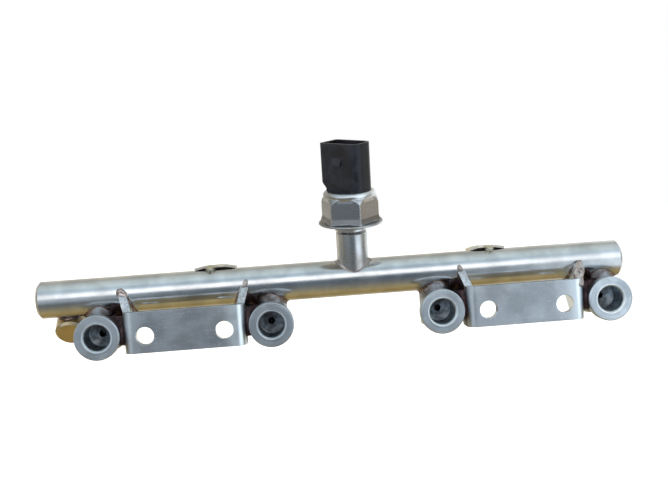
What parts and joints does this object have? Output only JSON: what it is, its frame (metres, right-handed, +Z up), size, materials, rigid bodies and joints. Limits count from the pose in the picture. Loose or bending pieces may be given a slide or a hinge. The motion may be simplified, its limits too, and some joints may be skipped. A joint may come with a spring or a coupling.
{
  "type": "high-pressure fuel rail",
  "caption": "Brazed steel fuel rail for petrol direct injection: thick-walled tube with open injector cups, bolted brackets, threaded inlet and a screwed-in pressure sensor.",
  "frame": {"origin": "middle of the straight row of four bolt holes, on the brackets' front faces, which bolt to the cylinder head", "axes": "+X along the rail, away from the fuel inlet; +Y from the mounting face to the back, so the injector cups open towards -Y; +Z up, from the bolt holes to the tube and the sensor"},
  "size_m": [0.3184, 0.0567, 0.1075],
  "materials": {
    "tube_steel": "satin drawn steel tube",
    "cup_steel": "turned steel",
    "bracket_steel": "pressed sheet steel, satin",
    "braze_copper": "oxidised copper brazing metal",
    "sensor_steel": "machined stainless steel",
    "connector_plastic": "black glass-filled plastic",
    "contact_metal": "tinned blades",
    "board_green": "circuit board"
  },
  "bodies": {
    "root": {"rail_tube": "tube_steel", "end_plug_left": "cup_steel", "end_plug_right": "cup_steel", "injector_cup_1": "cup_steel", "injector_cup_2": "cup_steel", "injector_cup_3": "cup_steel", "injector_cup_4": "cup_steel", "cup_brazing": "braze_copper", "bracket_left": "bracket_steel", "bracket_right": "bracket_steel", "bracket_brazing": "braze_copper", "inlet_fitting": "cup_steel", "inlet_brazing": "braze_copper", "strap_left": "bracket_steel", "strap_right": "bracket_steel", "sensor_port": "cup_steel", "port_brazing": "braze_copper", "sensor_body": "sensor_steel", "pressure_cell": "sensor_steel", "circuit_board": "board_green", "sensor_connector": "connector_plastic", "contact_blade_1": "contact_metal", "contact_blade_2": "contact_metal", "contact_blade_3": "contact_metal"}
  },
  "joints": []
}
